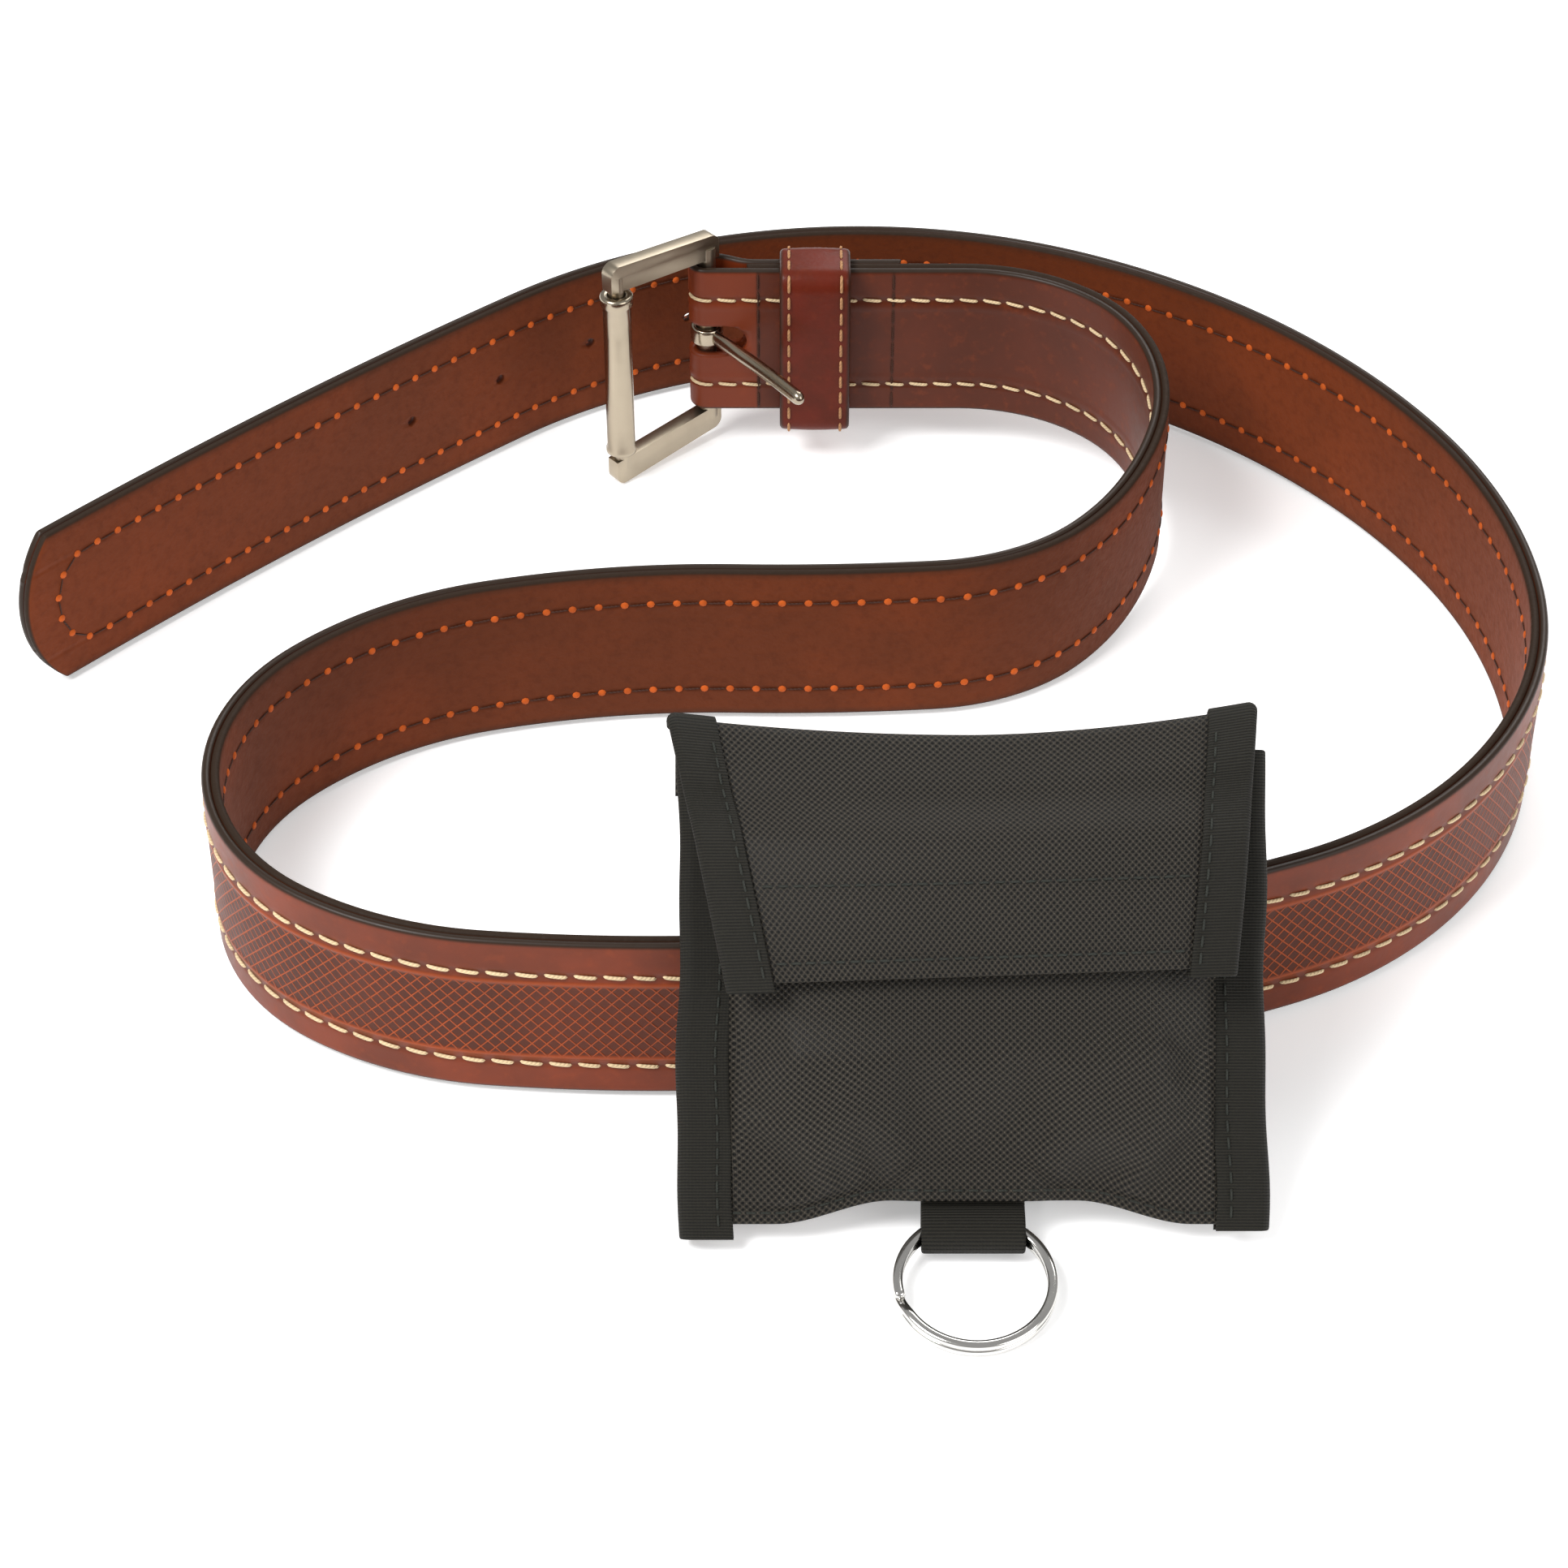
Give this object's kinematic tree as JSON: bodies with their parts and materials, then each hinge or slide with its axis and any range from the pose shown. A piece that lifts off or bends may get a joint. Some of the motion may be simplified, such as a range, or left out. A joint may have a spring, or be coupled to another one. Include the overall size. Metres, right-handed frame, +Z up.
{
  "type": "tool belt",
  "caption": "Two-ply leather work belt with a roller buckle, standing coiled on its edge, with a black nylon flap pouch and a split ring on a web tab.",
  "frame": {"origin": "under the pouch, on the underside of its webbing loop, midway through the belt's thickness", "axes": "+X across the pouch, +Y away from the pouch's front into the coil, +Z up from the surface the belt stands on"},
  "size_m": [0.3195, 0.3136, 0.0725],
  "materials": {
    "strap_leather": "smooth margins, embossed diamond lattice between two stitch rows",
    "lining_leather": "plain smooth back with the stitches' under thread",
    "keeper_leather": "glossy, redder than the strap",
    "buckle_metal": "pale champagne nickel plate, satin",
    "nylon": "black ballistic nylon, basket weave",
    "binding_tape": "black grosgrain with fine cross ribs",
    "webbing": "black webbing",
    "hook_tape": "black hook and loop tape",
    "ring_steel": "bright nickel plate"
  },
  "bodies": {
    "belt": {"outer_strap": "strap_leather", "lining_strap": "lining_leather"},
    "keeper": {"keeper_loop": "keeper_leather"},
    "buckle": {"buckle_frame": "buckle_metal"},
    "prong": {"buckle_prong": "buckle_metal"},
    "roller": {"buckle_roller": "buckle_metal"},
    "pouch": {"pouch_back_panel": "nylon", "pouch_front_panel": "nylon", "pouch_belt_loop": "webbing", "side_binding_left": "binding_tape", "side_binding_right": "binding_tape", "front_loop_tape": "hook_tape", "ring_tab": "webbing"},
    "flap": {"pouch_flap": "nylon", "flap_binding_left": "binding_tape", "flap_binding_right": "binding_tape", "flap_hook_tape": "hook_tape"},
    "ring": {"split_ring": "ring_steel"}
  },
  "joints": [
    {"name": "buckle_hinge", "type": "hinge", "parent": "belt", "child": "buckle", "pos_m": [-0.05069, 0.21076, 0.0295], "axis": [0, 0, 1], "range_deg": [-41, 5]},
    {"name": "prong_hinge", "type": "hinge", "parent": "buckle", "child": "prong", "pos_m": [-0.05069, 0.21076, 0.0295], "axis": [0, 0, 1], "range_deg": [-76, 5]},
    {"name": "roller_spin", "type": "hinge", "parent": "buckle", "child": "roller", "pos_m": [-0.07031, 0.1937, 0.0295], "axis": [0, 0, 1], "continuous": true},
    {"name": "keeper_slide", "type": "slide", "parent": "belt", "child": "keeper", "axis": [1, 0, 0], "range_m": [-0.002, 0.006]},
    {"name": "pouch_travel", "type": "hinge", "parent": "belt", "child": "pouch", "pos_m": [-0.0573, 0.32499, 0.02], "axis": [0, 0, 1], "range_deg": [-3.5, 3.5]},
    {"name": "flap_hinge", "type": "hinge", "parent": "pouch", "child": "flap", "pos_m": [0.0015, 0.01875, 0.07098], "axis": [-1, 0, 0], "range_deg": [0, 160]},
    {"name": "ring_hinge", "type": "hinge", "parent": "pouch", "child": "ring", "pos_m": [0.0015, -0.04557, 0.0048], "axis": [-1, 0, 0], "range_deg": [-60, 85]}
  ]
}
